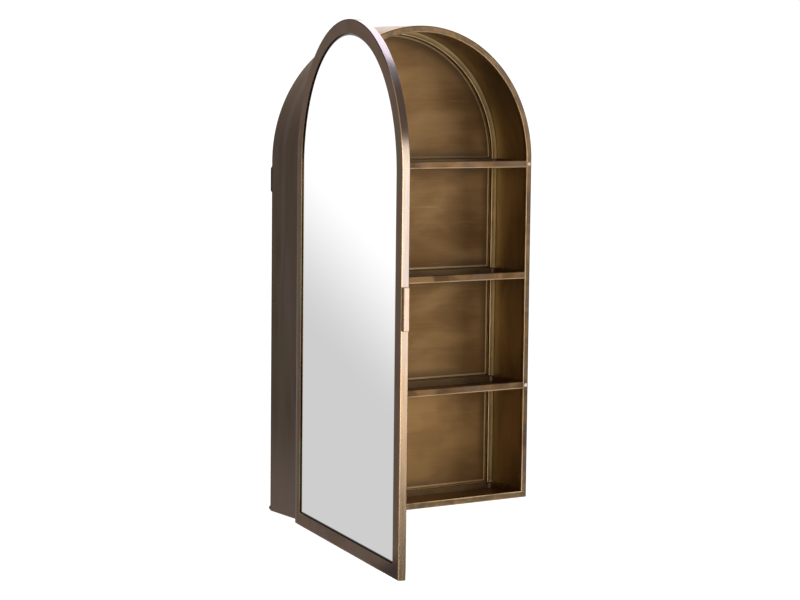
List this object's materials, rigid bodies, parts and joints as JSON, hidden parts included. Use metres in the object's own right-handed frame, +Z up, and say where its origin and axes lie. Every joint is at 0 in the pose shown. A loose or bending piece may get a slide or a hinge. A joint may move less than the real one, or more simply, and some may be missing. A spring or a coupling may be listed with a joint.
{
  "type": "arched mirror cabinet",
  "caption": "Wall cabinet with an arched outline, shelves and a hinged mirror door of the same shape, in patinated brass-coloured metal.",
  "frame": {"origin": "midway between the centres of the two keyholes, on the wall plane", "axes": "+X to the right as seen from the front, +Y into the wall, +Z up"},
  "size_m": [0.6128, 0.6283, 0.8999],
  "materials": {
    "patina_metal": "satin",
    "inner_metal": "satin",
    "mirror": "polished",
    "dark_tape": "matte",
    "board": "matte",
    "steel": "satin",
    "black_steel": "satin",
    "magnet": "satin",
    "rubber": "matte"
  },
  "bodies": {
    "cabinet": {"front_frame": "patina_metal", "side_shell": "patina_metal", "rear_frame": "inner_metal", "back_panel": "inner_metal", "back_panel_screws": "steel", "floor_panel": "inner_metal", "shelf_lower": "patina_metal", "shelf_middle": "patina_metal", "shelf_upper": "patina_metal", "door_magnets": "magnet", "magnet_cups": "steel", "hanger_left": "black_steel", "hanger_right": "black_steel", "hanger_screws": "steel", "wall_bumper_left": "rubber", "wall_bumper_right": "rubber", "lower_hinge_cabinet_leaf": "patina_metal", "upper_hinge_cabinet_leaf": "patina_metal", "lower_hinge_pin": "steel", "upper_hinge_pin": "steel", "cabinet_hinge_screws": "steel"},
    "door": {"door_frame": "patina_metal", "mirror_glass": "mirror", "mirror_tape": "dark_tape", "backing_board": "board", "door_back_cover": "patina_metal", "cover_lugs": "steel", "cover_screws": "steel", "edge_pull": "patina_metal", "pull_screws": "steel", "lower_hinge_door_leaf": "patina_metal", "upper_hinge_door_leaf": "patina_metal", "door_hinge_screws": "steel"}
  },
  "joints": [
    {"name": "door_hinge", "type": "hinge", "parent": "cabinet", "child": "door", "pos_m": [-0.2528, -0.1285, 0], "axis": [0, 0, 1], "range_deg": [-79, 101]}
  ]
}
